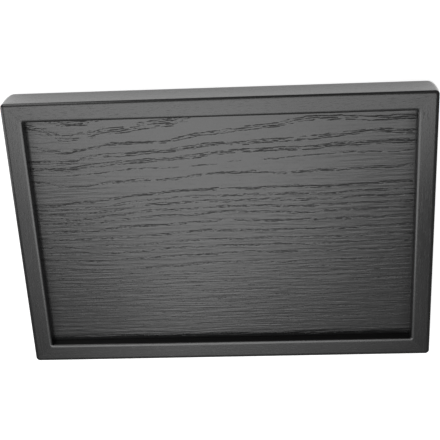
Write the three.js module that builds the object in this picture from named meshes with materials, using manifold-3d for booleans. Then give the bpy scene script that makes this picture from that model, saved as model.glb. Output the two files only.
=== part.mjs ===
// A wooden serving tray. Four mitred rails hold a veneered base panel in a groove,
// a loose tenon locks each mitre, and felt pads carry the frame.
// Millimetres, +Z up, origin on the table under the middle of the tray.
import * as THREE from "three";
import { mergeVertices } from "three/addons/utils/BufferGeometryUtils.js";
import Module from "manifold-3d";

const wasm = await Module();
wasm.setup();

// Rails
const trayLength = 450; // over the outside, along X
const trayDepth = 315; // over the outside, along Y
const railHeight = 36;
const railWidth = 21;
const outerCornerRadius = 4.5; // at the rim
const cornerFlare = 7.5; // how much rounder the outer corner is at the foot than at the rim
const flareSteps = 6; // facets of the outer side, from the foot's round up to the rim's
const innerCornerRadius = 1.2;
const rimEaseWidth = 4; // across the rim, where its upper outer edge eases down
const rimEaseDrop = 1.9; // and in height
const wellEaseWidth = 3.6; // the same towards the well
const wellEaseDrop = 1.2;
const edgeRound = 1.8; // on the lower inner edge
const bottomRound = 6; // on the lower outer edge
const leastCorner = 0.3; // where a round runs in past the corner's own radius
const glueLine = 0.2; // between two mitre faces
const roundSteps = 5; // facets of an edge round
const cornerSteps = 8; // facets of a corner round

// Base panel
const wellDepth = 11; // from the rim down to the serving surface
const veneerThickness = 0.6;
const coreThickness = 2.8;
const grooveDepth = 7; // into the inner wall of the rails
const grooveClearance = 0.15; // above and below the panel
const panelEdgeGap = 0.5; // room for the panel to swell at the end of the groove

// Loose tenons, lying flat across the mitres below the panel
const tenonLength = 12; // across the joint
const tenonWidth = 8; // along the mitre
const tenonThickness = 4;
const tenonClearance = 0.3;
const tenonSteps = 8; // facets of a rounded tenon edge

// Felt pads, under the long rails
const padRadius = 5;
const padThickness = 2;
const padFromEnd = 32; // from the outside of the tray to the middle of a pad
const padSteps = 32;

// Heights and places that follow
const railBottom = padThickness;
const rimHeight = railBottom + railHeight;
const servingHeight = rimHeight - wellDepth;
const coreTop = servingHeight - veneerThickness;
const coreBottom = coreTop - coreThickness;
const panelBottom = coreBottom - veneerThickness;
const wellLength = trayLength - 2 * railWidth;
const wellWidth = trayDepth - 2 * railWidth;
const panelLength = wellLength + 2 * (grooveDepth - panelEdgeGap);
const panelWidth = wellWidth + 2 * (grooveDepth - panelEdgeGap);
const tenonHeight = (railBottom + panelBottom) / 2;
const padInset = (bottomRound + railWidth - edgeRound) / 2; // the middle of the flat under a rail

const blackWood = new THREE.MeshStandardMaterial({ color: 0x1a1a1a, roughness: 0.42, metalness: 0 });
const blackVeneer = new THREE.MeshStandardMaterial({ color: 0x1c1c1c, roughness: 0.45, metalness: 0 });
const fibreboard = new THREE.MeshStandardMaterial({ color: 0x7a5a3c, roughness: 0.85, metalness: 0 });
const paleBeech = new THREE.MeshStandardMaterial({ color: 0xc9a577, roughness: 0.7, metalness: 0 });
const darkFelt = new THREE.MeshStandardMaterial({ color: 0x1d1d1e, roughness: 0.95, metalness: 0 });

// A closed geometry as a solid that can be cut.
function solidOf(geometry) {
  const bare = geometry.index ? geometry.toNonIndexed() : geometry.clone();
  bare.deleteAttribute("normal");
  bare.deleteAttribute("uv");
  const merged = mergeVertices(bare, 1e-4);
  const vertProperties = merged.getAttribute("position").array;
  const triVerts = new Uint32Array(merged.index.array);
  return new wasm.Manifold(new wasm.Mesh({ numProp: 3, vertProperties, triVerts }));
}

// A cut solid as a geometry again.
function geometryOf(solid) {
  const mesh = solid.getMesh();
  const geometry = new THREE.BufferGeometry();
  geometry.setAttribute("position", new THREE.BufferAttribute(mesh.vertProperties, 3));
  geometry.setIndex(new THREE.BufferAttribute(mesh.triVerts, 1));
  geometry.computeVertexNormals();
  return geometry;
}

// The outline across a rail, from its outer side over the rim to the well and back underneath:
// inset from the outside of the tray, height, and the radius that the corner has there.
function railSection() {
  const section = [];
  const quarter = (inset, height, wide, tall, start) => {
    for (let step = 0; step <= roundSteps; step++) {
      const turn = THREE.MathUtils.degToRad(start - (90 * step) / roundSteps);
      section.push({ inset: inset + wide * Math.cos(turn), height: height + tall * Math.sin(turn) });
    }
  };
  quarter(rimEaseWidth, rimHeight - rimEaseDrop, rimEaseWidth, rimEaseDrop, 180);
  quarter(railWidth - wellEaseWidth, rimHeight - wellEaseDrop, wellEaseWidth, wellEaseDrop, 90);
  quarter(railWidth - edgeRound, railBottom + edgeRound, edgeRound, edgeRound, 0);
  quarter(bottomRound, railBottom + bottomRound, bottomRound, bottomRound, -90);
  for (let step = 1; step < flareSteps; step++) {
    const low = railBottom + bottomRound;
    section.push({ inset: 0, height: low + ((rimHeight - rimEaseDrop - low) * step) / flareSteps });
  }
  for (const point of section) {
    if (point.inset > railWidth / 2) {
      point.radius = innerCornerRadius + railWidth - point.inset;
    } else if (point.height > rimHeight - rimEaseDrop) {
      point.radius = Math.max(outerCornerRadius - point.inset, leastCorner);
    } else {
      point.radius = outerCornerRadius + cornerFlare * ((rimHeight - point.height) / railHeight) ** 3;
    }
  }
  return section;
}

// One loop round the whole tray: a rectangle with round corners, counter-clockwise from above.
function frameLoop({ inset, height, radius }) {
  const x = trayLength / 2 - inset - radius;
  const y = trayDepth / 2 - inset - radius;
  const loop = [];
  for (const [sideX, sideY, start] of [[1, -1, -90], [1, 1, 0], [-1, 1, 90], [-1, -1, 180]]) {
    for (let step = 0; step <= cornerSteps; step++) {
      const turn = THREE.MathUtils.degToRad(start + (90 * step) / cornerSteps);
      loop.push(sideX * x + radius * Math.cos(turn), sideY * y + radius * Math.sin(turn), height);
    }
  }
  return loop;
}

// The whole frame before it is parted at the mitres: loops joined round the rail's section.
function frameRing() {
  const loops = railSection().map(frameLoop);
  const around = loops[0].length / 3;
  const index = [];
  for (let row = 0; row < loops.length; row++) {
    const nextRow = (row + 1) % loops.length;
    for (let step = 0; step < around; step++) {
      const nextStep = (step + 1) % around;
      const here = row * around + step;
      const along = row * around + nextStep;
      const beside = nextRow * around + step;
      const across = nextRow * around + nextStep;
      index.push(here, along, across, here, across, beside);
    }
  }
  const ring = new THREE.BufferGeometry();
  ring.setAttribute("position", new THREE.Float32BufferAttribute(loops.flat(), 3));
  ring.setIndex(index);
  return solidOf(ring);
}

// The room for the panel, from groove to groove.
function panelGroove() {
  const height = servingHeight - panelBottom + 2 * grooveClearance;
  const groove = new THREE.BoxGeometry(
    wellLength + 2 * grooveDepth,
    wellWidth + 2 * grooveDepth,
    height,
  );
  groove.translate(0, 0, panelBottom - grooveClearance + height / 2);
  return solidOf(groove);
}

// The wedge of the frame that one rail fills, with its outer side on -Y: its two slanted sides are
// the mitres, half a glue line short of the corner's diagonal, and it reaches well past the rail.
function mitreWedge(length, width) {
  const outer = length / 2 - (glueLine / 2) * Math.SQRT2;
  const reach = 2 * railWidth;
  const wedge = new THREE.Shape([
    new THREE.Vector2(-outer, -width / 2),
    new THREE.Vector2(outer, -width / 2),
    new THREE.Vector2(outer - reach, -width / 2 + reach),
    new THREE.Vector2(-outer + reach, -width / 2 + reach),
  ]);
  return new THREE.ExtrudeGeometry(wedge, { depth: rimHeight, bevelEnabled: false });
}

// A loose tenon along X with round edges, grown on every side by a clearance.
function tenonGeometry(clearance) {
  const radius = tenonThickness / 2 + clearance;
  const straight = (tenonWidth - tenonThickness) / 2;
  const section = new THREE.Shape();
  section.absarc(straight, 0, radius, -Math.PI / 2, Math.PI / 2);
  section.absarc(-straight, 0, radius, Math.PI / 2, 1.5 * Math.PI);
  const length = tenonLength + 2 * clearance;
  const tenon = new THREE.ExtrudeGeometry(section, {
    depth: length,
    curveSegments: tenonSteps,
    bevelEnabled: false,
  });
  tenon.translate(0, 0, -length / 2);
  tenon.rotateX(Math.PI / 2);
  tenon.rotateZ(Math.PI / 2);
  return tenon;
}

// Where each corner is, and how its tenon is turned so that it crosses the mitre squarely.
const corners = [
  { name: "front_left", x: -1, y: -1, turn: -Math.PI / 4 },
  { name: "front_right", x: 1, y: -1, turn: Math.PI / 4 },
  { name: "back_right", x: 1, y: 1, turn: -Math.PI / 4 },
  { name: "back_left", x: -1, y: 1, turn: Math.PI / 4 },
];

function tenonPlace(corner) {
  return new THREE.Vector3(
    corner.x * (trayLength / 2 - railWidth / 2),
    corner.y * (trayDepth / 2 - railWidth / 2),
    tenonHeight,
  );
}

// All four tenon mortises, each one half in either rail of its corner.
function tenonMortises() {
  return corners.map((corner) => {
    const mortise = tenonGeometry(tenonClearance);
    mortise.rotateZ(corner.turn);
    mortise.translate(...tenonPlace(corner).toArray());
    return solidOf(mortise);
  });
}

function addMesh(group, name, geometry, material) {
  const mesh = new THREE.Mesh(geometry, material);
  mesh.name = name;
  group.add(mesh);
  return mesh;
}

// The rails: the ring is grooved and mortised once, then parted at the mitres.
function addRails(group) {
  const machined = tenonMortises().reduce(
    (solid, mortise) => solid.subtract(mortise),
    frameRing().subtract(panelGroove()),
  );
  const rails = [
    { name: "front_rail", length: trayLength, width: trayDepth, turn: 0 },
    { name: "right_rail", length: trayDepth, width: trayLength, turn: Math.PI / 2 },
    { name: "back_rail", length: trayLength, width: trayDepth, turn: Math.PI },
    { name: "left_rail", length: trayDepth, width: trayLength, turn: -Math.PI / 2 },
  ];
  for (const rail of rails) {
    const wedge = mitreWedge(rail.length, rail.width).rotateZ(rail.turn);
    addMesh(group, rail.name, geometryOf(machined.intersect(solidOf(wedge))), blackWood);
  }
}

// The base panel: a core board with a face veneer and a backing veneer that keeps it flat.
function addPanel(group) {
  const layers = [
    { name: "backing_veneer", from: panelBottom, to: coreBottom, material: blackVeneer },
    { name: "panel_core", from: coreBottom, to: coreTop, material: fibreboard },
    { name: "face_veneer", from: coreTop, to: servingHeight, material: blackVeneer },
  ];
  for (const layer of layers) {
    const sheet = new THREE.BoxGeometry(panelLength, panelWidth, layer.to - layer.from);
    const mesh = addMesh(group, layer.name, sheet, layer.material);
    mesh.position.z = (layer.from + layer.to) / 2;
  }
}

function addTenons(group) {
  for (const corner of corners) {
    const tenon = addMesh(group, `${corner.name}_tenon`, tenonGeometry(0), paleBeech);
    tenon.position.copy(tenonPlace(corner));
    tenon.rotation.z = corner.turn;
  }
}

function addPads(group) {
  for (const corner of corners) {
    const disc = new THREE.CylinderGeometry(padRadius, padRadius, padThickness, padSteps);
    const pad = addMesh(group, `${corner.name}_pad`, disc.rotateX(Math.PI / 2), darkFelt);
    pad.position.set(
      corner.x * (trayLength / 2 - padFromEnd),
      corner.y * (trayDepth / 2 - padInset),
      padThickness / 2,
    );
  }
}

const tray = new THREE.Group();
addRails(tray);
addPanel(tray);
addTenons(tray);
addPads(tray);

export default tray;
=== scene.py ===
# A black wooden serving tray: four mitred rails round a recessed, open-pored panel.
# Metres, +Z up; the front rail is at -Y.
import math
import bmesh
import bpy
import numpy as np
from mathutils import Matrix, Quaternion, Vector


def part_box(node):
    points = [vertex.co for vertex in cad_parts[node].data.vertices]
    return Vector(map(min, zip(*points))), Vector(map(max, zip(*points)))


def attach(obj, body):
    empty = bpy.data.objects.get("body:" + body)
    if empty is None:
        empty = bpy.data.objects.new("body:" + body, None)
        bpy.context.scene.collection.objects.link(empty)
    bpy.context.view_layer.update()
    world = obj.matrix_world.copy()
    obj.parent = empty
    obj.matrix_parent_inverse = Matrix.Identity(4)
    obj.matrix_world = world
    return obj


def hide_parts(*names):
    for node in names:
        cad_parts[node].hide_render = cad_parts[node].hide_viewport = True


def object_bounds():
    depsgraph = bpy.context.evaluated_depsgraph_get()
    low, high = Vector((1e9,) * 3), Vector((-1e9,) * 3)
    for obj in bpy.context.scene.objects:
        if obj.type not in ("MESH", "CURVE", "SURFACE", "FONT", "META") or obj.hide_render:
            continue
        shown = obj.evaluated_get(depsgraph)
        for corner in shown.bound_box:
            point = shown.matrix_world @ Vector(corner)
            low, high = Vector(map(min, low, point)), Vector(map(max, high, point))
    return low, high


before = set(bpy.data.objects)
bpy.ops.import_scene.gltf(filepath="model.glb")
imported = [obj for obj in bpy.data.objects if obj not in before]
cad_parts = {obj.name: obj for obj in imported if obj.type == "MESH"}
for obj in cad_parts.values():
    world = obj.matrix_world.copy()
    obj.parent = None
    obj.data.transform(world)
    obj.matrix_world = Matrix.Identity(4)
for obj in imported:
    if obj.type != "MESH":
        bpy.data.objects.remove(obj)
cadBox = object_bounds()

mm = 0.001
print("frame loaded with", len(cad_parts), "nodes")

# camera: the photograph is taken from above the front rail and turned, so the back rail is at its foot
trayCamera = {
    "lens": 89.93,  # mm
    "sensor": 36,  # mm
    "place": (-0.06378, -0.54159, 1.09404),
    "aim": (0.00385, -0.01851, 0.038),
    "roll": -174.878,  # degrees about the line of sight
}


def addCamera():
    lens = bpy.data.cameras.new("trayCamera")
    lens.lens = trayCamera["lens"]
    lens.sensor_width = trayCamera["sensor"]
    camera = bpy.data.objects.new("trayCamera", lens)
    bpy.context.scene.collection.objects.link(camera)
    sight = Vector(trayCamera["aim"]) - Vector(trayCamera["place"])
    roll = Quaternion((0, 0, 1), math.radians(trayCamera["roll"]))
    camera.rotation_mode = "QUATERNION"
    camera.rotation_quaternion = sight.to_track_quat("-Z", "Y") @ roll
    camera.location = trayCamera["place"]
    bpy.context.scene.camera = camera


addCamera()
print("camera placed")


# node helpers
def addNode(tree, kind, inputs=None, **settings):
    node = tree.nodes.new(kind)
    for key, value in settings.items():
        setattr(node, key, value)
    for key, value in (inputs or {}).items():
        if isinstance(value, bpy.types.NodeSocket):
            tree.links.new(value, node.inputs[key])
        else:
            node.inputs[key].default_value = value
    return node


def calc(tree, operation, first, second=0.0, third=0.0):
    return addNode(tree, "ShaderNodeMath", {0: first, 1: second, 2: third}, operation=operation).outputs[0]


# noise in the object's own coordinates, stretched by its number of cycles per metre along each axis
def grainNoise(tree, cycles, shift=(0, 0, 0), detail=2.0, roughness=0.5):
    place = addNode(tree, "ShaderNodeTexCoord").outputs["Object"]
    stretched = addNode(tree, "ShaderNodeMapping", {"Vector": place, "Location": shift, "Scale": cycles})
    noise = addNode(
        tree,
        "ShaderNodeTexNoise",
        {"Vector": stretched.outputs[0], "Scale": 1.0, "Detail": detail, "Roughness": roughness},
    )
    return noise.outputs["Fac"]


def spread(tree, value, fromLow, fromHigh, toLow, toHigh):
    inputs = {"Value": value, "From Min": fromLow, "From Max": fromHigh, "To Min": toLow, "To Max": toHigh}
    return addNode(tree, "ShaderNodeMapRange", inputs, interpolation_type="SMOOTHSTEP").outputs[0]


# 0 below the first value and 1 above the second
def fadeIn(tree, value, low, high):
    return spread(tree, value, low, high, 0.0, 1.0)


def mixColour(tree, share, first, second):
    mix = addNode(tree, "ShaderNodeMix", {"Factor": share}, data_type="RGBA")
    for socket, colour in ((6, first), (7, second)):
        if isinstance(colour, bpy.types.NodeSocket):
            tree.links.new(colour, mix.inputs[socket])
        else:
            mix.inputs[socket].default_value = (*colour, 1)
    return mix.outputs[2]


def addBump(tree, height, strength, distance):
    inputs = {"Height": height, "Strength": strength, "Distance": distance}
    return addNode(tree, "ShaderNodeBump", inputs).outputs[0]


def objectAxes(tree):
    place = addNode(tree, "ShaderNodeTexCoord").outputs["Object"]
    return addNode(tree, "ShaderNodeSeparateXYZ", {0: place}).outputs


def newFinish(name):
    finish = bpy.data.materials.new(name)
    finish.use_nodes = True
    tree = finish.node_tree
    return finish, tree, tree.nodes["Principled BSDF"]


def setLook(tree, shader, colour, roughness, bump):
    for socket, value in (("Base Color", colour), ("Roughness", roughness), ("Normal", bump)):
        tree.links.new(value, shader.inputs[socket])


# the satin lacquer that lies on rails and panel alike
lacquer = {
    "coat": 1.0,
    "railRoughness": 0.18,
    "panelRoughness": 0.16,
    "panelIor": 1.5,
    "frontShadedIor": 1.48,  # the front rail's coat reflects a little less and the back one's more: painted shade and painted light for how the light falls on them
    "backLitIor": 1.6,
    "sideIor": 1.5,
}


def layLacquer(tree, shader, bump, cover, roughness, ior):
    tree.links.new(cover, shader.inputs["Coat Weight"])
    tree.links.new(bump, shader.inputs["Coat Normal"])
    shader.inputs["Coat Roughness"].default_value = roughness
    shader.inputs["Coat IOR"].default_value = ior


# a closed mesh as a piece of the tray
def addPiece(name, mesh, finish, slotName, *nodes):
    piece = bpy.data.objects.new(name, mesh)
    bpy.context.scene.collection.objects.link(piece)
    mesh.materials.clear()
    mesh.materials.append(finish)
    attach(piece, "root")
    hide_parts(*nodes)
    return piece


# rails
rails = {
    "width": 21 * mm,
    "rimEase": (4 * mm, 1.9 * mm),  # width and drop of the eased upper outer edge
    "wellEase": (3.6 * mm, 1.2 * mm),  # the same towards the well
    "edgeRound": 1.8 * mm,  # on the lower inner edge
    "bottomRound": 6 * mm,  # on the lower outer edge
    "outerCorner": 4.5 * mm,  # at the rim
    "cornerFlare": 7.5 * mm,  # how much rounder the outer corner is at the foot
    "flarePower": 3,  # how late, on the way down, it grows rounder
    "flareSteps": 8,
    "innerCorner": 1.2 * mm,
    "grooveDepth": 7 * mm,
    "grooveCorner": 0.3 * mm,
    "grooveRoom": 0.15 * mm,  # above and below the panel
    "mouthEase": 0.2 * mm,  # broken edge at the groove's mouth
    "mitreRoom": 0.02 * mm,  # half of the glue line
    "roundSteps": 8,
    "cornerSteps": 8,
    "straightSteps": 12,
    "sharpAngle": 35,  # degrees; steeper edges stay sharp
    "mortise": {"depth": 6.3 * mm, "width": 8.6 * mm, "height": 4.6 * mm, "steps": 8},
    # each rail: quarter turns from the front, shift of its grain, index of its lacquer, which paints light
    # on the back rail and shade on the front one
    "runs": (
        ("front_rail", 0, (0, 0, 0), lacquer["frontShadedIor"]),
        ("right_rail", 1, (3.1, 0, 1.7), lacquer["sideIor"]),
        ("back_rail", 2, (7.3, 2.2, 0), lacquer["backLitIor"]),
        ("left_rail", -1, (5.9, 4.4, 2.5), lacquer["sideIor"]),
    ),
    "black": (0.011, 0.011, 0.0113),
    "blackest": (0.008, 0.008, 0.0081),
    # layers of grain: cycles per metre along and across the rail, detail, roughness
    "streaks": (16, 420, 3.0, 0.6),
    "pores": (110, 1500, 1.0, 0.5),
    "clouds": (9, 60, 2.0, 0.5),
    "streakRange": (0.3, 0.7),  # where in the noise a layer sets in, and where it is full
    "poreRange": (0.58, 0.72),
    "roughness": 0.16,
    "streakRough": 0.12,  # added to the roughness by streaks, clouds, pores and the wall of the well
    "cloudRough": 0.06,
    "poreRough": 0.18,
    "wallRough": 0.15,
    "poreSink": 0.5,  # depth of the pores against that of the streaks
    "bump": (0.35, 0.1 * mm),  # strength and height of the grain
    "wellWallShade": 0.9,  # share of the lacquer taken off the wall of the well: painted shade that darkens it
}
tiny = 0.02 * mm  # closer than this is in line
trayLow, trayHigh = cadBox
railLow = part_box("front_rail")[0].z
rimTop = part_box("front_rail")[1].z
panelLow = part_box("backing_veneer")[0].z
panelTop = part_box("face_veneer")[1].z
tenonLow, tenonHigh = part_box("front_left_tenon")


# the rail's outline across its length: inset from the outside, height, and plan radius at the corner
def railSection():
    width, edge, low = rails["width"], rails["edgeRound"], rails["bottomRound"]
    rimWide, rim = rails["rimEase"]
    grooveTop = panelTop + rails["grooveRoom"]
    grooveLow = panelLow - rails["grooveRoom"]
    ease = rails["mouthEase"]
    easeWide, easeDrop = rails["wellEase"]
    section = []

    def quarter(inset, height, start, wide, tall):
        for step in range(rails["roundSteps"] + 1):
            turn = math.radians(start - 90 * step / rails["roundSteps"])
            section.append((inset + wide * math.cos(turn), height + tall * math.sin(turn)))

    quarter(rimWide, rimTop - rim, 180, rimWide, rim)
    quarter(width - easeWide, rimTop - easeDrop, 90, easeWide, easeDrop)
    deep = width - rails["grooveDepth"]
    section.extend([(width, grooveTop + ease), (width - ease, grooveTop), (deep, grooveTop)])
    section.extend([(deep, grooveLow), (width - ease, grooveLow), (width, grooveLow - ease)])
    quarter(width - edge, railLow + edge, 0, edge, edge)
    quarter(low, railLow + low, -90, low, low)
    for step in range(1, rails["flareSteps"]):
        rise = (rimTop - rim - railLow - low) * step / rails["flareSteps"]
        section.append((0, railLow + low + rise))
    shaped = []
    for inset, height in section:
        if abs(inset - deep) < tiny:
            radius = rails["grooveCorner"]
        elif inset < width / 2 and height > rimTop - rim:
            radius = rails["outerCorner"] - inset
        elif inset < width / 2:
            drop = (rimTop - height) / (rimTop - railLow)
            radius = rails["outerCorner"] + rails["cornerFlare"] * drop ** rails["flarePower"]
        else:
            radius = rails["innerCorner"] + width - inset
        shaped.append((inset, height, radius))
    return shaped


# one line along a rail with its outside on -Y, from mitre to mitre round half of either corner
def railLine(length, depth, inset, radius):
    across = length / 2 - inset - radius
    back = -(depth / 2 - inset - radius)
    steps = rails["cornerSteps"]
    turns = [math.pi * (1.25 + 0.25 * step / steps) for step in range(steps + 1)]
    left = [(-across + radius * math.cos(turn), back + radius * math.sin(turn)) for turn in turns]
    left[0] = (left[0][0] + rails["mitreRoom"] * math.sqrt(2), left[0][1])
    right = [(-x, y) for x, y in reversed(left)]
    count = rails["straightSteps"]
    start, end = left[-1][0], right[0][0]
    middle = [(start + (end - start) * step / count, left[-1][1]) for step in range(1, count)]
    return left + middle + right


# the end of a rail: the mitre face with the mortise of the loose tenon sunk in it
def closeMitre(bm, ring, length, depth, side):
    mortise = rails["mortise"]
    half = rails["width"] / 2
    middle = Vector((side * (length / 2 - half), -(depth / 2 - half), (tenonLow.z + tenonHigh.z) / 2))
    middle.x -= side * rails["mitreRoom"] * math.sqrt(2)
    along = Vector((-side, 1, 0)).normalized()
    inward = Vector((-side, -1, 0)).normalized()
    rim = []
    for step in range(2 * mortise["steps"] + 2):
        nearEnd = step <= mortise["steps"]
        turn = math.pi * ((step if nearEnd else step - 1) / mortise["steps"] - 0.5)
        reach = (mortise["width"] - mortise["height"]) / 2 * (1 if nearEnd else -1)
        flat = along * (reach + mortise["height"] / 2 * math.cos(turn))
        rim.append(middle + flat + Vector((0, 0, mortise["height"] / 2 * math.sin(turn))))
    mouth = [bm.verts.new(point) for point in rim]
    floor = [bm.verts.new(point + inward * mortise["depth"]) for point in rim]
    count = len(rim)
    for step in range(count):
        after = (step + 1) % count
        bm.faces.new((mouth[step], mouth[after], floor[after], floor[step]))
    bm.faces.new(floor)
    loops = []
    for loop in (ring, mouth):
        for step, vert in enumerate(loop):
            other = loop[(step + 1) % len(loop)]
            loops.append(bm.edges.get((vert, other)) or bm.edges.new((vert, other)))
    bmesh.ops.triangle_fill(bm, use_beauty=True, use_dissolve=False, edges=loops)


def railMesh(name, length, depth, turn):
    bm = bmesh.new()
    well = bm.verts.layers.float.new("well")  # 1 on the wall of the well
    lines = []
    for inset, height, radius in railSection():
        line = [bm.verts.new((x, y, height)) for x, y in railLine(length, depth, inset, radius)]
        for vert in line:
            vert[well] = 1.0 if inset > rails["width"] - tiny and height > panelTop else 0.0
        lines.append(line)
    for index, line in enumerate(lines):
        after = lines[(index + 1) % len(lines)]
        for step in range(len(line) - 1):
            bm.faces.new((line[step], line[step + 1], after[step + 1], after[step]))
    closeMitre(bm, [line[0] for line in lines], length, depth, -1)
    closeMitre(bm, [line[-1] for line in lines], length, depth, 1)
    bmesh.ops.recalc_face_normals(bm, faces=bm.faces)
    bmesh.ops.rotate(bm, cent=(0, 0, 0), matrix=Quaternion((0, 0, 1), turn).to_matrix(), verts=bm.verts)
    mesh = bpy.data.meshes.new(name)
    bm.to_mesh(mesh)
    bm.free()
    mesh.polygons.foreach_set("use_smooth", [True] * len(mesh.polygons))
    mesh.set_sharp_from_angle(angle=math.radians(rails["sharpAngle"]))
    return mesh


# black stain under satin lacquer, with fine straight grain along the rail; the wall of the well is rougher
# and has its lacquer taken off, painted shade that darkens it
def railFinish(name, alongX, shift, ior):
    finish, tree, shader = newFinish(name)

    def layer(along, across, detail, roughness):
        cycles = (along, across, across) if alongX else (across, along, across)
        return grainNoise(tree, cycles, shift, detail, roughness)

    streaks = layer(*rails["streaks"])
    clouds = layer(*rails["clouds"])
    openPore = fadeIn(tree, layer(*rails["pores"]), *rails["poreRange"])
    wall = addNode(tree, "ShaderNodeAttribute", attribute_name="well").outputs["Fac"]
    colour = mixColour(tree, fadeIn(tree, streaks, *rails["streakRange"]), rails["blackest"], rails["black"])
    rough = calc(tree, "MULTIPLY_ADD", streaks, rails["streakRough"], rails["roughness"])
    for share, key in ((clouds, "cloudRough"), (openPore, "poreRough"), (wall, "wallRough")):
        rough = calc(tree, "MULTIPLY_ADD", share, rails[key], rough)
    height = calc(tree, "MULTIPLY_ADD", openPore, -rails["poreSink"], streaks)
    bump = addBump(tree, height, *rails["bump"])
    setLook(tree, shader, colour, rough, bump)
    # painted shade: the wall of the well loses most of its lacquer, so that it shows darker
    cover = calc(tree, "MULTIPLY_ADD", wall, -rails["wellWallShade"], lacquer["coat"])
    layLacquer(tree, shader, bump, cover, lacquer["railRoughness"], ior)
    return finish


def addRails():
    length, depth = trayHigh.x - trayLow.x, trayHigh.y - trayLow.y
    for name, quarters, shift, ior in rails["runs"]:
        alongX = quarters % 2 == 0
        span, across = (length, depth) if alongX else (depth, length)
        mesh = railMesh(name, span, across, quarters * math.pi / 2)
        finish = railFinish(name + "_black", alongX, shift, ior)
        piece = addPiece(name + "_lacquered", mesh, finish, "rail_wood", name)
        keep = piece.modifiers.new("flats", "WEIGHTED_NORMAL")
        keep.keep_sharp = True


addRails()
print("rails swept from mitre to mitre")

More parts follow.
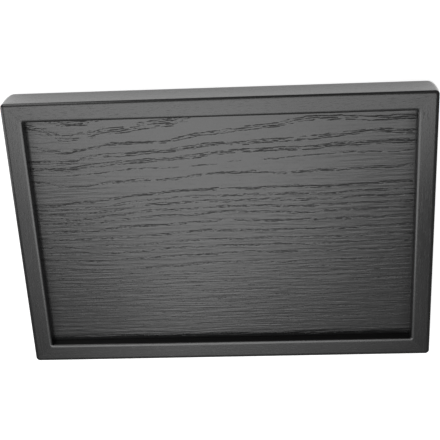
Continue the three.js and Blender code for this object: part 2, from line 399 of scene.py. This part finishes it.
# face veneer: flat-cut rings, described in mm from the middle of the tray.
# Along is measured towards the left rail, across towards the back rail.
veneer = {
    "stations": (-205, -185, -165, -143, -120, -90, -55, -15, 0, 30, 60, 95, 125, 155, 205),
    # how far a ring runs off its place in the middle, at each station
    "drift": {
        -161: (22, 26, 33, 32, 25, 21.5, 17.5, 2, 0, -4, -7, -9, -11, -10, -9),
        -145: (19.5, 24.3, 30.6, 29.3, 23.5, 21.5, 17.5, 2, 0, -4, -7, -9, -11, -10, -9),
        -116: (11, 14.5, 19, 16, 11, 9.8, 8.9, 2, 0, -3.8, -6, -11.5, -12.5, -10, -9.5),
        -102: (14.2, 17, 18.6, 12.4, 9.3, 7.6, 6.6, 0.8, 0, -0.4, -1.5, -3.8, -7, -9.2, -7.6),
        -92: (13, 15, 15.8, 11.5, 8.8, 7.5, 6.4, 1, 0, -1.4, -2.1, -3.6, -5.4, -6.2, -7.7),
        -80: (9.8, 10.2, 10.2, 8.6, 6, 4.7, 3.5, 1.1, 0, -2.1, -4.2, -6.3, -7.4, -7.9, -8.5),
        -68: (4.5, 8, 10.8, 11.7, 8.2, 5.8, 4.8, 1.2, 0, -0.7, 1.4, 1.3, -0.2, -2, -2.4),
        -50: (15, 14.8, 14.3, 11.8, 8.4, 4.4, 2.1, 0.4, 0, 0.3, -0.5, -0.1, 0, -1.3, -2.6),
        -40: (12.8, 13.2, 13.6, 11.8, 8, 4.2, 2.2, 0.3, 0, 0.6, 0.8, 0.9, 0.4, -0.5, -2.2),
        -22: (9.7, 10.4, 10.6, 9.4, 7, 4.4, 2.5, 0.5, 0, 0.5, 1.5, 2.2, 1.9, 0.8, -0.4),
        0: (6.3, 7, 7.4, 7, 6.3, 4, 1.9, 0.5, 0, 0.5, 0.8, 0.6, 0.2, -0.3, -1.5),
        40: (4.5, 5, 6, 6.4, 6.2, 5.4, 2.6, 0.5, 0, 0, 0.4, 0.2, 0, -0.5, -1.5),
        75: (2, 1.5, 1, 0.5, 0, 0.5, 1, 0.4, 0, 0.5, 1.5, 2, 2, 2, 1.5),
        145: (-2, -2.5, -2, -3, -4, -3.5, -2, -0.5, 0, 1.5, 3, 3.5, 3.5, 4, 4),
    },
    # each ring: where it crosses the middle, rows of pores in it, how strongly they show
    "rings": (
        (-161, 3, 0.95), (-145, 3, 0.95), (-116, 3, 0.92), (-102.4, 3, 0.87), (-92.3, 3, 0.87),
        (-80.3, 1, 0.75), (-68.6, 2, 0.8), (-50.4, 2, 0.9), (-42.8, 2, 0.75), (-36.6, 2, 0.75),
        (-29.5, 2, 0.75), (-22.7, 2, 0.75), (-12.3, 2, 0.8), (-0.5, 2, 0.75), (9.8, 2, 0.65), (18, 2, 0.7),
        (27.3, 2, 0.7), (39.3, 2, 0.6), (46.5, 1, 0.5), (51.5, 1, 0.55), (57, 1, 0.5), (62.5, 2, 0.5),
        (68.5, 1, 0.5), (74, 2, 0.5), (80, 1, 0.5), (85, 2, 0.45), (91, 1, 0.5), (96.5, 2, 0.45),
        (102, 1, 0.45), (108, 2, 0.45), (113, 1, 0.4), (119, 1, 0.45), (124.5, 1, 0.4), (130, 1, 0.4),
        (135, 1, 0.4), (141, 1, 0.4),
    ),
    # rings whose rows draw together at one end: stations, and the share of the usual gap there
    "narrowed": {-116: ((-60, 40), (0.6, 1.15))},
    # looser rows beside a ring: the ring, how far off it they run, how strongly they show
    "looseRows": ((-145, -4.0, 0.8), (-145, 4.2, 0.85)),
    # small waves in every ring: height, run along and across for a radian, start
    "ripples": ((0.55, 17, 9, 0), (0.35, 9.3, -6, 1.3)),
    "countReach": (-175, 180),  # the rings are counted between these
    "pores": {
        "seed": 11,
        "rowReach": 212,  # rows run this far to either side
        "rowStart": 8,  # and begin within this
        "rowGap": 2.1,  # between the rows of one ring
        "fineness": ((-60, 0, 50), (1.0, 0.85, 0.6)),  # pores get finer from the front to the back
        "long": (4.5, 15),
        "wide": (1.1, 1.8),
        "wideShare": (0.55, 0.45),  # of that width: what stays, and what goes with the fineness
        "blunt": 0.02,  # square of a pore's width at its tips, as a share of the middle
        "deep": (0.55, 1.0),  # as a share of poreDepth
        "stride": (0.5, 1.0),  # from one pore's start to the next one's, in lengths of the first
        "leanSpan": 4,  # a ring's lean is taken over this to either side
        "steepLean": 0.3,  # a ring that leans so much is steep, and its pores are shorter and shallower
        "steepShorter": 0.7,
        "steepShallower": 0.25,
        "leanShare": 0.6,  # how much of the ring's lean a pore takes on
        "leanScatter": 0.015,
        "scatter": 0.3,  # across the row
        "swell": 0.7,  # how full a row is, and how that rises and falls: share, and run for a radian
        "longWave": (0.25, 29),
        "shortWave": (0.15, 11),
        "waveStart": 6.28,  # waves start anywhere within this, in radians
        "waveLag": 2,  # and the long one so much later from row to row
        "chance": 0.15,  # of a pore, above the swell
        "deepen": 0.2,  # depth of a pore, above the swell
        "leftDeeper": 0.15,  # deeper at the left end, shallower at the right
        # some rings are nearly unbroken bands: which, and how their rows differ from the others
        "bandShare": ((-130, -116, -66, 30, 50), (0.0, 0.4, 1.0, 1.0, 0.0)),
        "band": {"fuller": 0.15, "steadier": 0.1, "wider": 0.35, "shallower": 0.2, "closer": 0.25},
    },
    # stray pores behind every ring
    "strays": {
        "count": 20,
        "reach": 206,
        "behind": 8,
        "long": (3, 9),
        "wide": (0.6, 0.9),
        "deep": (0.1, 0.3),
        "leanScatter": 0.02,
    },
    # from here on in metres
    "stepAlong": 2.4 * mm,
    "stepAcross": 0.49 * mm,
    "ringHollow": 0.02 * mm,
    "poreDepth": 0.1 * mm,
    "sharpAngle": 60,  # degrees
    "black": (0.0115, 0.0115, 0.0118),
    "poreBlack": (0.004, 0.004, 0.004),
    # layers of grain: cycles per metre, shift, detail, roughness
    "streaks": ((22, 330, 1), (2.0, 0, 0), 3.0, 0.6),
    "breaks": ((230, 800, 1), (0, 3.0, 0), 2.0, 0.6),
    "ragged": (1.4, 1.5, -0.95),  # weights of the breaks and the pores, and what is taken off
    "openRange": (0.05, 0.75),  # where a ragged pore sets in, and where it is full
    "roughness": 0.18,
    "streakRough": 0.10,  # added to the roughness by streaks and pores
    "poreRough": 0.35,
    # streaks are quieter between the wide rings at the front and at the back: from, to, strength there
    "frontQuiet": (-0.1, 0.03, 0.65, 1.0),
    "backQuiet": (0.0, 0.07, 1.0, 0.84),
    "poreSink": 0.3,  # depth of the open pores against that of the streaks
    "bump": (1.0, 0.36 * mm),  # strength and height of the grain
    "poreBare": 0.8,  # share of the lacquer that an open pore lacks
    "wallShadeReach": 14 * mm,  # painted shade: the lacquer is taken off within this reach of the side and back walls, so that the panel darkens towards them
    "wallShadeShare": 0.55,
}


# drift of the ring that crosses the middle at a given place, at one station along the tray
def ringDrift(along, middles):
    guides = sorted(veneer["drift"])
    drifts = [np.interp(along, veneer["stations"], veneer["drift"][guide]) for guide in guides]
    return np.interp(middles, guides, drifts)


def ringPlace(along, middle):
    ripple = 0
    for height, runAlong, runAcross, start in veneer["ripples"]:
        ripple = ripple + height * np.sin(along / runAlong + middle / runAcross + start)
    return middle + ringDrift(along, middle) + ripple


# sinks one pore, a slim boat-shaped groove, into the field of depths
def sinkPore(depths, alongs, acrosses, at, size, slope, depth):
    halfLong, halfWide = size[0] / 2, size[1] / 2
    reach = halfWide + abs(slope) * halfLong
    columns = slice(*np.searchsorted(alongs, (at[0] - halfLong, at[0] + halfLong)))
    rows = slice(*np.searchsorted(acrosses, (at[1] - reach, at[1] + reach)))
    run = alongs[columns] - at[0]
    if run.size == 0 or rows.stop <= rows.start:
        return
    belly = halfWide * np.sqrt(np.clip(1 - (run / halfLong) ** 2, veneer["pores"]["blunt"], 1))
    off = acrosses[rows][:, None] - (at[1] + slope * run)[None, :]
    groove = depth * np.clip(1 - (off / belly[None, :]) ** 2, 0, 1)
    depths[rows, columns] = np.maximum(depths[rows, columns], groove)


def poreFineness(middle):
    return np.interp(middle, *veneer["pores"]["fineness"])


# 1 for the rings in the middle of the panel, less for those towards the front and the back
def bandShare(middle):
    return np.interp(middle, *veneer["pores"]["bandShare"])


# how far a ring's rows stand apart at one station, as a share of the usual gap
def rowSpread(along, middle):
    return np.interp(along, *veneer["narrowed"].get(middle, ((0,), (1.0,))))


# one row of pores beside the line of a ring, denser and looser in waves
def sinkRow(draw, depths, alongs, acrosses, middle, shift, strength, waves):
    pores, band = veneer["pores"], veneer["pores"]["band"]
    fine, share = poreFineness(middle), bandShare(middle)
    longRise, longRun = pores["longWave"]
    shortRise, shortRun = pores["shortWave"]
    fixedWide, fineWide = pores["wideShare"]
    span = pores["leanSpan"]
    along = -pores["rowReach"] + draw.uniform(0, pores["rowStart"])
    while along < pores["rowReach"]:
        lean = (ringPlace(along + span, middle) - ringPlace(along - span, middle)) / (2 * span)
        steep = min(abs(lean) / pores["steepLean"], 1)
        long = draw.uniform(*pores["long"]) * (1 - pores["steepShorter"] * steep)
        swell = pores["swell"] + band["fuller"] * share
        swell += (longRise - band["steadier"] * share) * np.sin(along / longRun + waves[0])
        swell += shortRise * np.sin(along / shortRun + waves[1])
        if draw.uniform() < swell + pores["chance"]:
            at = along + long / 2
            across = ringPlace(at, middle) + shift * rowSpread(at, middle)
            across += draw.normal(0, pores["scatter"] * fine)
            wide = draw.uniform(*pores["wide"]) * (fixedWide + fineWide * fine)
            wide *= 1 + band["wider"] * share
            slope = lean * pores["leanShare"] + draw.normal(0, pores["leanScatter"])
            depth = strength * draw.uniform(*pores["deep"]) * min(swell + pores["deepen"], 1)
            depth *= 1 - pores["steepShallower"] * steep
            depth *= 1 - band["shallower"] * share
            depth *= 1 + pores["leftDeeper"] * at / veneer["stations"][-1]
            sinkPore(depths, alongs, acrosses, (at, across), (long, wide), slope, depth)
        along += long * draw.uniform(*pores["stride"])


# rows of pores along every ring, and stray ones between
def poreField(alongs, acrosses):
    pores, strays = veneer["pores"], veneer["strays"]
    draw = np.random.default_rng(pores["seed"])
    depths = np.zeros((acrosses.size, alongs.size))
    for middle, rows, strength in veneer["rings"]:
        waves = draw.uniform(0, pores["waveStart"], 2)
        gap = pores["rowGap"] * poreFineness(middle) * (1 - pores["band"]["closer"] * bandShare(middle))
        for row in range(rows):
            shift = (row - (rows - 1) / 2) * gap
            rowWaves = (waves[0] + pores["waveLag"] * row, waves[1])
            sinkRow(draw, depths, alongs, acrosses, middle, shift, strength, rowWaves)
        for _ in range(strays["count"]):
            at = draw.uniform(-strays["reach"], strays["reach"])
            across = ringPlace(at, middle + draw.uniform(0, strays["behind"]))
            size = (draw.uniform(*strays["long"]), draw.uniform(*strays["wide"]))
            slope = draw.normal(0, strays["leanScatter"])
            sinkPore(depths, alongs, acrosses, (at, across), size, slope, draw.uniform(*strays["deep"]))
    for middle, shift, strength in veneer["looseRows"]:
        waves = draw.uniform(0, pores["waveStart"], 2)
        sinkRow(draw, depths, alongs, acrosses, middle, shift, strength, waves)
    return depths


# ring count at every point of the panel, whole numbers on the pore rows
def ringField(alongs, acrosses):
    counts = np.zeros((acrosses.size, alongs.size))
    middles = np.arange(*veneer["countReach"], 1.0)
    places = [ring[0] for ring in veneer["rings"]]
    order = np.interp(middles, places, np.arange(len(places)))
    for column, along in enumerate(alongs):
        counts[:, column] = np.interp(acrosses, ringPlace(along, middles), order)
    return counts


def faceVeneerMesh():
    low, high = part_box("face_veneer")
    wellX = trayHigh.x - rails["width"]
    wellY = trayHigh.y - rails["width"]
    columns = round(2 * wellX / veneer["stepAlong"])
    rows = round(2 * wellY / veneer["stepAcross"])
    xs = np.concatenate(([low.x], np.linspace(-wellX, wellX, columns + 1), [high.x]))
    ys = np.concatenate(([low.y], np.linspace(-wellY, wellY, rows + 1), [high.y]))
    alongs = -xs[::-1] / mm  # the figure counts towards the left rail
    depths = poreField(alongs, ys / mm)[:, ::-1]
    counts = ringField(alongs, ys / mm)[:, ::-1]
    hollow = veneer["ringHollow"] * (0.5 - 0.5 * np.cos(2 * np.pi * counts))
    sunk = veneer["poreDepth"] * depths + hollow
    sunk[[0, -1], :] = 0
    sunk[:, [0, -1]] = 0
    gridX, gridY = np.meshgrid(xs, ys)
    top = np.stack([gridX, gridY, high.z - sunk], axis=-1).reshape(-1, 3)
    wide, tall = xs.size, ys.size
    index = np.arange(wide * tall).reshape(tall, wide)
    faces = np.stack([index[:-1, :-1], index[:-1, 1:], index[1:, 1:], index[1:, :-1]], axis=-1)
    edge = np.concatenate([index[0, :-1], index[:-1, -1], index[-1, :0:-1], index[:0:-1, 0]])
    under = top[edge].copy()
    under[:, 2] = low.z
    first = len(top)
    lower = first + np.arange(edge.size)
    centre = first + edge.size
    points = np.concatenate([top, under, [[0, 0, low.z]]])
    after = np.roll(np.arange(edge.size), -1)
    sides = np.stack([edge, lower, lower[after], edge[after]], axis=-1)
    fan = [(centre, int(b), int(a)) for a, b in zip(lower, lower[after])]
    mesh = bpy.data.meshes.new("face_veneer")
    mesh.from_pydata(points.tolist(), [], faces.reshape(-1, 4).tolist() + sides.tolist() + fan)
    shares = np.zeros(len(points))
    shares[:first] = depths.reshape(-1)
    mesh.attributes.new("pore", "FLOAT", "POINT").data.foreach_set("value", shares)
    mesh.polygons.foreach_set("use_smooth", [True] * len(mesh.polygons))
    mesh.set_sharp_from_angle(angle=math.radians(veneer["sharpAngle"]))
    return mesh


# black stain that the pores break up, under lacquer that leaves them open and is taken off towards the side
# and back walls as painted shade
def veneerFinish():
    finish, tree, shader = newFinish("open_pored_black")
    pore = addNode(tree, "ShaderNodeAttribute", attribute_name="pore").outputs["Fac"]
    streaks = grainNoise(tree, *veneer["streaks"])
    breaks = grainNoise(tree, *veneer["breaks"])
    breakWeight, poreWeight, less = veneer["ragged"]
    ragged = calc(tree, "MULTIPLY_ADD", pore, poreWeight, less)
    ragged = calc(tree, "MULTIPLY_ADD", breaks, breakWeight, ragged)
    openPore = fadeIn(tree, ragged, *veneer["openRange"])
    colour = mixColour(tree, openPore, veneer["black"], veneer["poreBlack"])
    rough = calc(tree, "MULTIPLY_ADD", streaks, veneer["streakRough"], veneer["roughness"])
    rough = calc(tree, "MULTIPLY_ADD", openPore, veneer["poreRough"], rough)
    axes = objectAxes(tree)
    front = spread(tree, axes["Y"], *veneer["frontQuiet"])
    strength = calc(tree, "MULTIPLY", front, spread(tree, axes["Y"], *veneer["backQuiet"]))
    grain = calc(tree, "MULTIPLY", streaks, strength)
    height = calc(tree, "MULTIPLY_ADD", openPore, -veneer["poreSink"], grain)
    bump = addBump(tree, height, *veneer["bump"])
    setLook(tree, shader, colour, rough, bump)
    # painted shade: less lacquer near the side and back walls, so that the panel darkens towards them
    besideWall = calc(tree, "SUBTRACT", trayHigh.x - rails["width"], calc(tree, "ABSOLUTE", axes["X"]))
    backWall = calc(tree, "SUBTRACT", trayHigh.y - rails["width"], axes["Y"])
    nearWall = calc(tree, "MINIMUM", besideWall, backWall)
    paintedWallShade = spread(tree, nearWall, 0.0, veneer["wallShadeReach"], veneer["wallShadeShare"], 0.0)
    cover = calc(tree, "MULTIPLY_ADD", openPore, -veneer["poreBare"], lacquer["coat"])
    cover = calc(tree, "MAXIMUM", calc(tree, "SUBTRACT", cover, paintedWallShade), 0.0)
    layLacquer(tree, shader, bump, cover, lacquer["panelRoughness"], lacquer["panelIor"])
    return finish


addPiece("face_veneer_pored", faceVeneerMesh(), veneerFinish(), "panel_veneer", "face_veneer")
print("face veneer grown from its rings")


# the rest of the panel and the tenons keep their CAD shapes.
# Layers of grain are given as cycles per metre, shift, detail and roughness.
backing = {
    "streaks": ((7, 260, 1), (1.0, 5.0, 0), 3.0, 0.6),
    "pores": ((90, 1700, 1), (4.0, 0, 0), 1.0),
    "streakRange": (0.3, 0.7),
    "poreRange": (0.56, 0.7),
    "dark": (0.009, 0.009, 0.009),
    "light": (0.02, 0.02, 0.02),
    "roughness": 0.4,
    "streakRough": 0.2,
    "poreRough": 0.2,
    "poreSink": 0.6,
    "bump": (0.5, 0.1 * mm),
}


def backingFinish():
    finish, tree, shader = newFinish("straight_black_veneer")
    streaks = grainNoise(tree, *backing["streaks"])
    openPore = fadeIn(tree, grainNoise(tree, *backing["pores"]), *backing["poreRange"])
    tone = fadeIn(tree, streaks, *backing["streakRange"])
    rough = calc(tree, "MULTIPLY_ADD", streaks, backing["streakRough"], backing["roughness"])
    rough = calc(tree, "MULTIPLY_ADD", openPore, backing["poreRough"], rough)
    height = calc(tree, "MULTIPLY_ADD", openPore, -backing["poreSink"], streaks)
    colour = mixColour(tree, tone, backing["dark"], backing["light"])
    setLook(tree, shader, colour, rough, addBump(tree, height, *backing["bump"]))
    return finish


core = {
    "chips": ((700, 700, 2400), (0, 0, 0), 4.0, 0.65),
    "layers": ((12, 12, 1500), (0, 0, 3.0), 2.0),
    "chipShare": 0.6,  # of the colour
    "layerShare": 0.4,
    "toneRange": (0.3, 0.7),
    "dark": (0.13, 0.072, 0.033),
    "light": (0.27, 0.17, 0.09),
    "roughness": 0.72,
    "chipRough": 0.2,
    "bump": (0.6, 0.15 * mm),
}


def fibreboardFinish():
    finish, tree, shader = newFinish("raw_fibreboard")
    chips = grainNoise(tree, *core["chips"])
    mixed = calc(tree, "MULTIPLY", chips, core["chipShare"])
    mixed = calc(tree, "MULTIPLY_ADD", grainNoise(tree, *core["layers"]), core["layerShare"], mixed)
    colour = mixColour(tree, fadeIn(tree, mixed, *core["toneRange"]), core["dark"], core["light"])
    rough = calc(tree, "MULTIPLY_ADD", chips, core["chipRough"], core["roughness"])
    setLook(tree, shader, colour, rough, addBump(tree, chips, *core["bump"]))
    return finish


tenons = {
    "rays": ((420, 420, 1300), (0, 0, 0), 2.0),
    "tone": ((90, 90, 220), (2.0, 0, 0), 3.0),
    "toneRange": (0.3, 0.7),
    "fleckRange": (0.58, 0.68),
    "fleckShare": 0.6,
    "brown": (0.5, 0.31, 0.145),
    "pale": (0.66, 0.45, 0.24),
    "fleck": (0.3, 0.16, 0.07),
    "roughness": 0.55,
    "rayRough": 0.2,
    "bump": (0.4, 0.1 * mm),
}


def beechFinish():
    finish, tree, shader = newFinish("raw_beech")
    rays = grainNoise(tree, *tenons["rays"])
    flecks = calc(tree, "MULTIPLY", fadeIn(tree, rays, *tenons["fleckRange"]), tenons["fleckShare"])
    tone = fadeIn(tree, grainNoise(tree, *tenons["tone"]), *tenons["toneRange"])
    colour = mixColour(tree, flecks, mixColour(tree, tone, tenons["brown"], tenons["pale"]), tenons["fleck"])
    rough = calc(tree, "MULTIPLY_ADD", rays, tenons["rayRough"], tenons["roughness"])
    setLook(tree, shader, colour, rough, addBump(tree, rays, *tenons["bump"]))
    return finish


def dressNode(name, finish):
    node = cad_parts[name]
    node.data.materials.clear()
    node.data.materials.append(finish)


dressNode("backing_veneer", backingFinish())
dressNode("panel_core", fibreboardFinish())
beech = beechFinish()
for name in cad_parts:
    if name.endswith("_tenon"):
        dressNode(name, beech)
print("panel core, backing and tenons dressed")

# felt pads
pads = {
    "around": 64,
    "underRings": (0.45, 0.75),  # shares of the radius at which the flat underside has a ring
    "rimSteps": 6,
    "rimRound": 0.7 * mm,
    "topEase": (0.2 * mm, 0.3 * mm),  # width and height of the broken upper edge
    "topRing": 0.5,
    "fuzz": 0.05 * mm,
    "fuzzLift": 0.6,  # share of the fuzz that goes into the height
    "seed": 5,
    "dark": (0.008, 0.008, 0.0085),
    "light": (0.03, 0.03, 0.032),
    # layers of fibre: cycles per metre, shift, detail, roughness
    "fibres": ((2600, 2600, 2600), (0, 0, 0), 4.0, 0.7),
    "clumps": ((500, 500, 500), (0, 2.0, 0), 2.0),
    "fibreShare": 0.6,  # of colour and bump
    "clumpShare": 0.4,
    "toneRange": (0.3, 0.7),
    "roughness": 0.88,
    "fibreRough": 0.1,
    "sheen": 0.3,
    "sheenRoughness": 0.6,
    "bump": (0.8, 0.2 * mm),
}


def padMesh(node, draw):
    low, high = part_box(node)
    middle = (low + high) / 2
    radius = (high.x - low.x) / 2
    bend, steps = pads["rimRound"], pads["rimSteps"]
    outline = [(share * radius, low.z) for share in pads["underRings"]]
    for step in range(steps + 1):
        turn = math.pi / 2 * step / steps
        outline.append((radius - bend + bend * math.sin(turn), low.z + bend - bend * math.cos(turn)))
    easeWide, easeTall = pads["topEase"]
    outline.append((radius, high.z - easeTall))
    outline.append((radius - easeWide, high.z))
    outline.append((pads["topRing"] * radius, high.z))
    bm = bmesh.new()
    count = pads["around"]
    rings = []
    for reach, height in outline:
        ring = []
        for step in range(count):
            turn = 2 * math.pi * step / count
            loose = reach - pads["fuzz"] * draw.uniform(0, 1)
            lift = pads["fuzz"] * draw.uniform(0, pads["fuzzLift"]) if height < high.z else 0
            ring.append(bm.verts.new((
                middle.x + loose * math.cos(turn),
                middle.y + loose * math.sin(turn),
                min(height + lift, high.z),
            )))
        rings.append(ring)
    for ring, above in zip(rings, rings[1:]):
        for step in range(count):
            after = (step + 1) % count
            bm.faces.new((ring[step], ring[after], above[after], above[step]))
    for ring, height in ((rings[0], low.z), (rings[-1], high.z)):
        centre = bm.verts.new((middle.x, middle.y, height))
        for step in range(count):
            bm.faces.new((ring[step], ring[(step + 1) % count], centre))
    bmesh.ops.recalc_face_normals(bm, faces=bm.faces)
    mesh = bpy.data.meshes.new(node)
    bm.to_mesh(mesh)
    bm.free()
    mesh.polygons.foreach_set("use_smooth", [True] * len(mesh.polygons))
    return mesh


def feltFinish():
    finish, tree, shader = newFinish("pressed_felt")
    fibres = grainNoise(tree, *pads["fibres"])
    mixed = calc(tree, "MULTIPLY", fibres, pads["fibreShare"])
    mixed = calc(tree, "MULTIPLY_ADD", grainNoise(tree, *pads["clumps"]), pads["clumpShare"], mixed)
    colour = mixColour(tree, fadeIn(tree, mixed, *pads["toneRange"]), pads["dark"], pads["light"])
    rough = calc(tree, "MULTIPLY_ADD", fibres, pads["fibreRough"], pads["roughness"])
    setLook(tree, shader, colour, rough, addBump(tree, mixed, *pads["bump"]))
    shader.inputs["Sheen Weight"].default_value = pads["sheen"]
    shader.inputs["Sheen Roughness"].default_value = pads["sheenRoughness"]
    return finish


def addPads():
    draw = np.random.default_rng(pads["seed"])
    felt = feltFinish()
    for name in ("front_left_pad", "front_right_pad", "back_right_pad", "back_left_pad"):
        piece = addPiece(name + "_felt", padMesh(name, draw), felt, "felt", name)


addPads()
print("felt pads set")

# floor and light
studio = {
    "floorSize": 24.0,  # metres
    "floorInset": 25 * mm,  # the floor is open under the panel, so that light reaches the underside
    "floorWhite": 0.8,
    "floorGlow": 0.85,  # seen by the camera, so that the floor is about white
    "glossGlow": 0.78,  # the same in the gloss, dimmed in the shade round the foot and away from the tray
    "glossReach": (0.02, 0.08),  # how far from the tray that glow begins to fade and where it ends
    "shadeReach": 0.1,  # how far the shade of the tray reaches in that glow
    "worldGrey": 0.17,
    # two leaning cards, beyond the front right corner and the right side: place, size, radiance,
    # tilt and turn in degrees
    "cards": (
        ((0.68, -1.145, 0.75), (0.6, 1.83), 1.4, 55, 11),
        ((1.32, 0.2, 0.6), (0.6, 1.33), 1.4, 64.5, 90),
    ),
    "boxTurn": 36.8,  # degrees
    # two overlapping softboxes overhead: place, size and radiance
    "softboxes": (
        ((0.060, 0.326, 1.5), (1.08, 0.93), 1.62),
        ((0.362, 0.628, 1.52), (0.92, 1.60), 0.45),
    ),
}


# matt white that glows for the camera and in the gloss, and is see-through from below
def floorFinish():
    finish, tree, _ = newFinish("white_floor")
    tree.nodes.clear()
    white = studio["floorWhite"]
    matt = addNode(tree, "ShaderNodeBsdfDiffuse", {"Color": (white, white, white, 1)})
    path = addNode(tree, "ShaderNodeLightPath").outputs
    shade = addNode(tree, "ShaderNodeAmbientOcclusion", {"Distance": studio["shadeReach"]}).outputs["AO"]
    axes = objectAxes(tree)
    beside = calc(tree, "SUBTRACT", calc(tree, "ABSOLUTE", axes["X"]), trayHigh.x)
    before = calc(tree, "SUBTRACT", calc(tree, "ABSOLUTE", axes["Y"]), trayHigh.y)
    away = calc(tree, "MAXIMUM", beside, before)
    lit = calc(tree, "MULTIPLY", shade, spread(tree, away, *studio["glossReach"], studio["glossGlow"], 0.0))
    seen = calc(tree, "MULTIPLY", path["Is Camera Ray"], studio["floorGlow"])
    mirrored = calc(tree, "MULTIPLY", path["Is Glossy Ray"], lit)
    glow = addNode(tree, "ShaderNodeEmission", {"Strength": calc(tree, "MAXIMUM", seen, mirrored)})
    above = addNode(tree, "ShaderNodeAddShader", {0: matt.outputs[0], 1: glow.outputs[0]})
    clear = addNode(tree, "ShaderNodeBsdfTransparent")
    under = addNode(tree, "ShaderNodeNewGeometry").outputs["Backfacing"]
    mixed = addNode(tree, "ShaderNodeMixShader", {0: under, 1: above.outputs[0], 2: clear.outputs[0]})
    addNode(tree, "ShaderNodeOutputMaterial", {"Surface": mixed.outputs[0]})
    return finish


def addFloor():
    half = studio["floorSize"] / 2
    openX = trayHigh.x - studio["floorInset"]
    openY = trayHigh.y - studio["floorInset"]
    corners = []
    for x, y in ((half, half), (openX, openY)):
        corners += [(-x, -y, 0), (x, -y, 0), (x, y, 0), (-x, y, 0)]
    sides = [(side, (side + 1) % 4, (side + 1) % 4 + 4, side + 4) for side in range(4)]
    mesh = bpy.data.meshes.new("floor")
    mesh.from_pydata(corners, [], sides)
    mesh.materials.append(floorFinish())
    floor = bpy.data.objects.new("floor", mesh)
    bpy.context.scene.collection.objects.link(floor)


def addBox(name, place, size, radiance, tilt, turn):
    light = bpy.data.lights.new(name, "AREA")
    light.shape = "RECTANGLE"
    light.size, light.size_y = size
    light.energy = radiance * math.pi * size[0] * size[1]
    box = bpy.data.objects.new(name, light)
    bpy.context.scene.collection.objects.link(box)
    box.location = place
    box.rotation_euler = (math.radians(tilt), 0, math.radians(turn))
    box.visible_camera = False


def addLights():
    for place, size, radiance in studio["softboxes"]:
        addBox("softbox", place, size, radiance, 0, studio["boxTurn"])
    for place, size, radiance, tilt, turn in studio["cards"]:
        addBox("card", place, size, radiance, tilt, turn)


def addWorld():
    world = bpy.data.worlds.new("studio")
    bpy.context.scene.world = world
    world.use_nodes = True
    grey = studio["worldGrey"]
    world.node_tree.nodes["Background"].inputs["Color"].default_value = (grey, grey, grey, 1)


addFloor()
addLights()
addWorld()
bpy.context.scene.view_settings.view_transform = "Standard"
print("floor and light ready")
